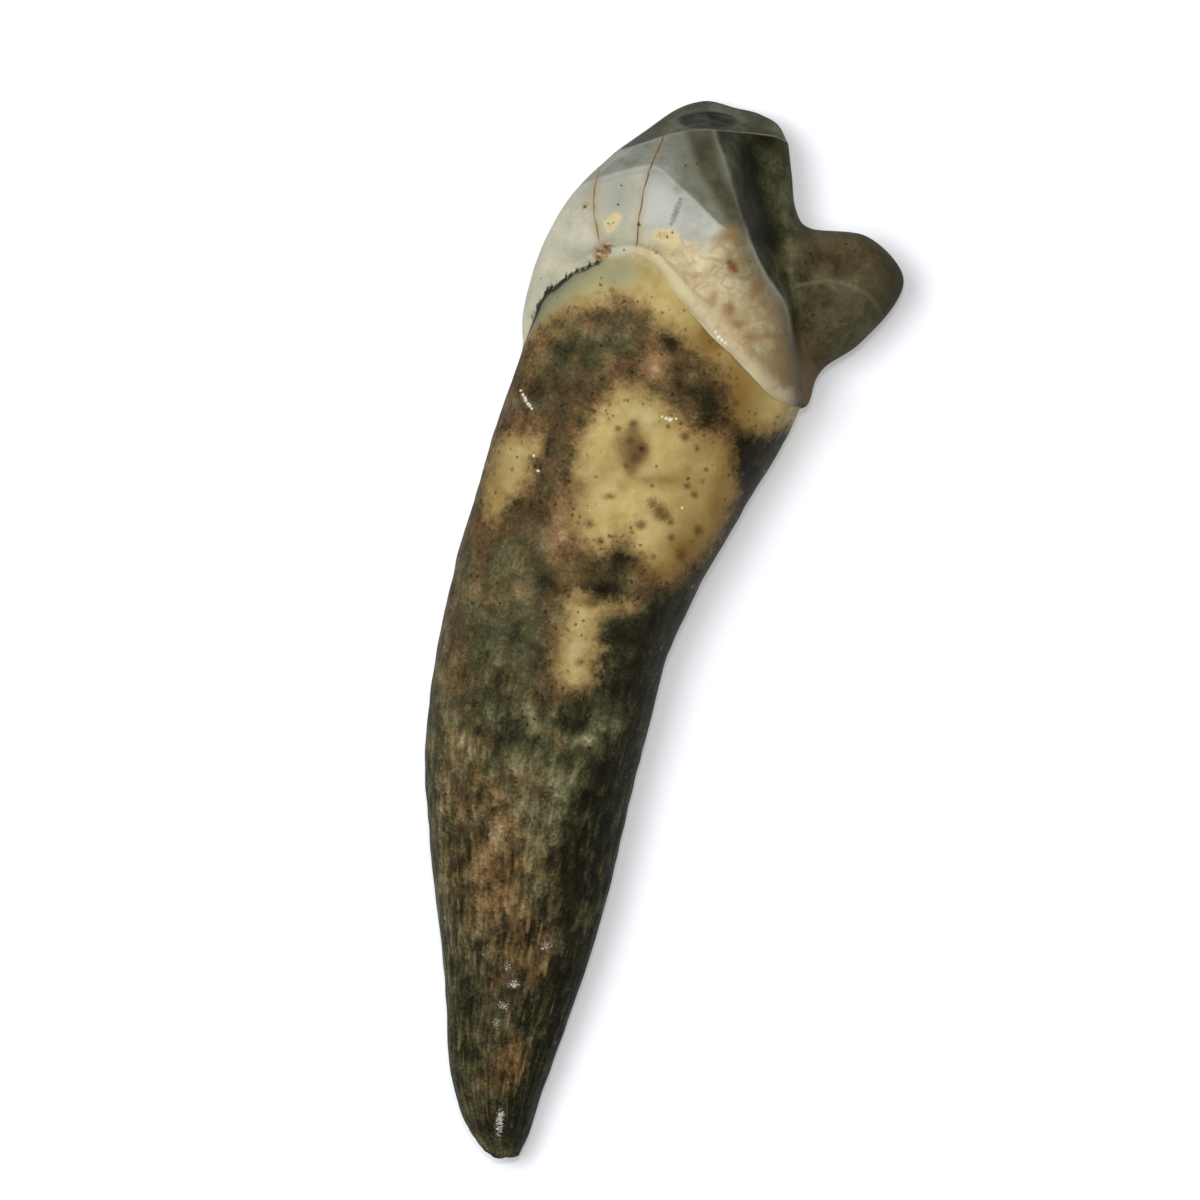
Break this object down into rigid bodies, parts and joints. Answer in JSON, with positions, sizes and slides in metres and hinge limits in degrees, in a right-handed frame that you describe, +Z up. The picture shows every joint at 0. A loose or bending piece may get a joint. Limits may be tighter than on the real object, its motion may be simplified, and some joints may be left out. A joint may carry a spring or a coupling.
{
  "type": "fossil cave bear incisor",
  "caption": "Fossil incisor of a cave bear: a long curved root, a worn enamel crown and a rounded tongue-side lobe, lying on its side.",
  "frame": {"origin": "middle of the footprint, on the surface that the tooth lies on", "axes": "+Y from the root tip towards the worn crown, +X from the lip side towards the tongue side, +Z up"},
  "size_m": [0.016, 0.0454, 0.0096],
  "materials": {
    "fossil_tooth": "semi-gloss; root mottled dark brown, green-black and cream, crown of pale worn enamel"
  },
  "bodies": {
    "root": {"tooth": "fossil_tooth"}
  },
  "joints": []
}
